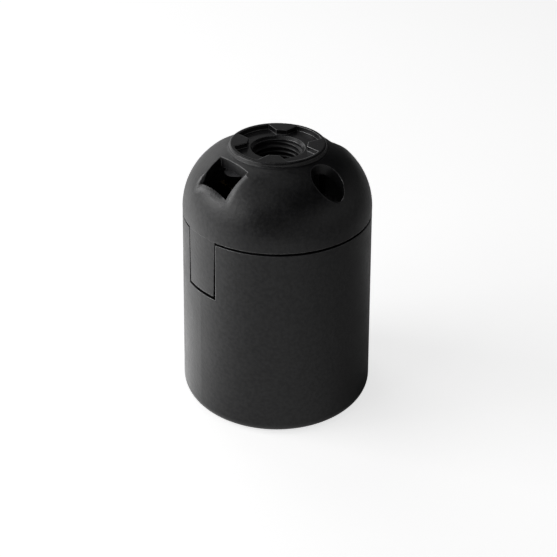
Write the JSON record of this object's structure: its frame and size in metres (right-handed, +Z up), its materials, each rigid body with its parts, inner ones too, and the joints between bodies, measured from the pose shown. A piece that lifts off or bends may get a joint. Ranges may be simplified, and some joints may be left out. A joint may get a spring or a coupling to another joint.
{
  "type": "lamp holder",
  "caption": "Black plastic E27 lamp holder: tapered skirt, clip-on dome with latch tongues and windows, and a threaded M10 entry in a low collar with inward lugs.",
  "frame": {"origin": "centre of the open mouth, in the plane of the mouth's flat end face that the holder stands on", "axes": "+Z up the axis, from the open mouth out through the threaded entry; +X to the viewer's right and +Y away from the viewer, with the latch that shows in the picture at 218.8 degrees from +X"},
  "size_m": [0.042, 0.042, 0.0586],
  "materials": {
    "black_plastic": "fine matte grain",
    "insert_plastic": "satin moulding",
    "brass": "machined",
    "contact_bronze": "rolled strip",
    "steel": "zinc plated"
  },
  "bodies": {
    "holder": {"body_shell": "black_plastic", "dome_cap": "black_plastic", "contact_carrier": "insert_plastic", "centre_spring": "steel", "line_strip": "contact_bronze", "strip_rivet": "brass", "side_contact": "contact_bronze", "line_terminal": "brass", "neutral_terminal": "brass"},
    "plunger": {"centre_contact": "brass"},
    "line_screw": {"line_terminal_screw": "steel"},
    "neutral_screw": {"neutral_terminal_screw": "steel"}
  },
  "joints": [
    {"name": "centre_contact_press", "type": "slide", "parent": "holder", "child": "plunger", "axis": [0, 0, 1], "range_m": [0, 0.002], "stiffness_N_per_m": 1500, "springref_m": -0.002, "deforming": ["centre_spring"]},
    {"name": "line_screw_travel", "type": "slide", "parent": "holder", "child": "line_screw", "axis": [0, 0, 1], "range_m": [0, 0.0025]},
    {"name": "neutral_screw_travel", "type": "slide", "parent": "holder", "child": "neutral_screw", "axis": [0, 0, 1], "range_m": [0, 0.0025]}
  ]
}
